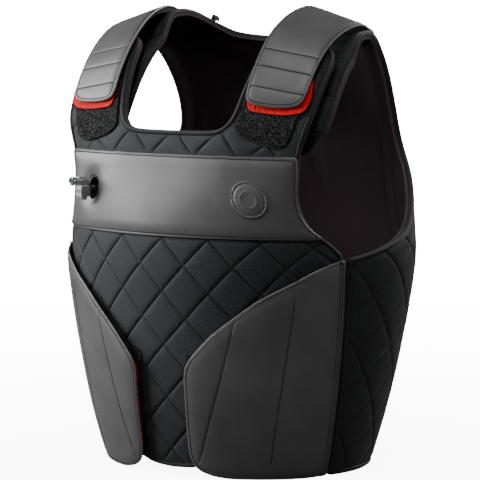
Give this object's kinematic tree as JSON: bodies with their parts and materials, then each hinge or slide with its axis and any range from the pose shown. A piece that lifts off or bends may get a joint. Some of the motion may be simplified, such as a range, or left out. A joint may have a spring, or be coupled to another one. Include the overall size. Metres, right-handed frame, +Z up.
{
  "type": "body protector vest",
  "caption": "Quilted body protector vest with leather-look chest band, peel-off shoulder straps, hinged side wings and an elbow air valve.",
  "frame": {"origin": "on the ground under the middle of the hem, midway between the sides and between front and back", "axes": "+Z up along the wearer's spine, -Y out of the wearer's chest, +X towards the wearer's left"},
  "size_m": [0.4126, 0.3042, 0.5006],
  "materials": {
    "quilt": "quilted woven textile, near black, matt",
    "lining": "soft knitted mesh, dark brown-black, matt",
    "foam": "closed-cell foam, dark grey, matt",
    "bladder": "welded film, grey, satin",
    "leather": "smooth coated leather, charcoal, satin",
    "backing": "neoprene, black, matt",
    "hook": "hook tape, bright red, matt",
    "loop": "fuzzy loop tape, black, matt",
    "tape": "woven tape, black, matt",
    "plastic": "moulded plastic, black, satin",
    "gunmetal": "dark polished metal",
    "steel": "bright polished steel"
  },
  "bodies": {
    "vest": {"back_cover": "quilt", "back_foam": "foam", "back_bladder": "bladder", "back_lining": "lining", "hang_loop": "tape", "front_cover": "quilt", "front_foam": "foam", "front_bladder": "bladder", "front_lining": "lining", "chest_band": "leather", "badge": "leather", "valve_cup": "plastic", "valve_base": "plastic", "valve_block": "gunmetal", "valve_spring": "steel", "loop_patch_left": "loop", "wing_patch_left": "loop", "loop_patch_right": "loop", "wing_patch_right": "loop"},
    "strap_left": {"strap_left_leather": "leather", "strap_left_backing": "backing", "strap_left_hook": "hook"},
    "strap_right": {"strap_right_leather": "leather", "strap_right_backing": "backing", "strap_right_hook": "hook"},
    "wing_left": {"wing_left_leather": "leather", "wing_left_backing": "backing", "wing_left_hook": "hook"},
    "wing_right": {"wing_right_leather": "leather", "wing_right_backing": "backing", "wing_right_hook": "hook"},
    "valve_elbow": {"valve_elbow": "gunmetal"},
    "valve_mouthpiece": {"valve_mouthpiece": "steel"},
    "valve_button": {"valve_button": "gunmetal", "valve_stem": "steel"}
  },
  "joints": [
    {"name": "strap_left_peel", "type": "hinge", "parent": "vest", "child": "strap_left", "pos_m": [0.13061, 0.03778, 0.48154], "axis": [-0.9272, -0.0325, 0.3732], "range_deg": [0, 100]},
    {"name": "strap_right_peel", "type": "hinge", "parent": "vest", "child": "strap_right", "pos_m": [-0.13061, 0.03778, 0.48154], "axis": [-0.9272, 0.0325, -0.3732], "range_deg": [0, 100]},
    {"name": "wing_left_open", "type": "hinge", "parent": "vest", "child": "wing_left", "pos_m": [0.16871, -0.05985, 0.11881], "axis": [0.1686, -0.118, 0.9786], "range_deg": [0, 88]},
    {"name": "wing_right_open", "type": "hinge", "parent": "vest", "child": "wing_right", "pos_m": [-0.16871, -0.05985, 0.11881], "axis": [0.1686, 0.118, -0.9786], "range_deg": [0, 88]},
    {"name": "valve_elbow_swivel", "type": "hinge", "parent": "vest", "child": "valve_elbow", "pos_m": [-0.11304, -0.13235, 0.305], "axis": [0, 0, 1], "range_deg": [-80, 80]},
    {"name": "mouthpiece_pull", "type": "slide", "parent": "valve_elbow", "child": "valve_mouthpiece", "axis": [-0.3381, -0.9411, 0], "range_m": [0, 0.0025]},
    {"name": "button_press", "type": "slide", "parent": "vest", "child": "valve_button", "axis": [0, 0, 1], "range_m": [0, 0.0022], "stiffness_N_per_m": 250, "springref_m": -0.0004, "deforming": ["valve_spring"]}
  ]
}
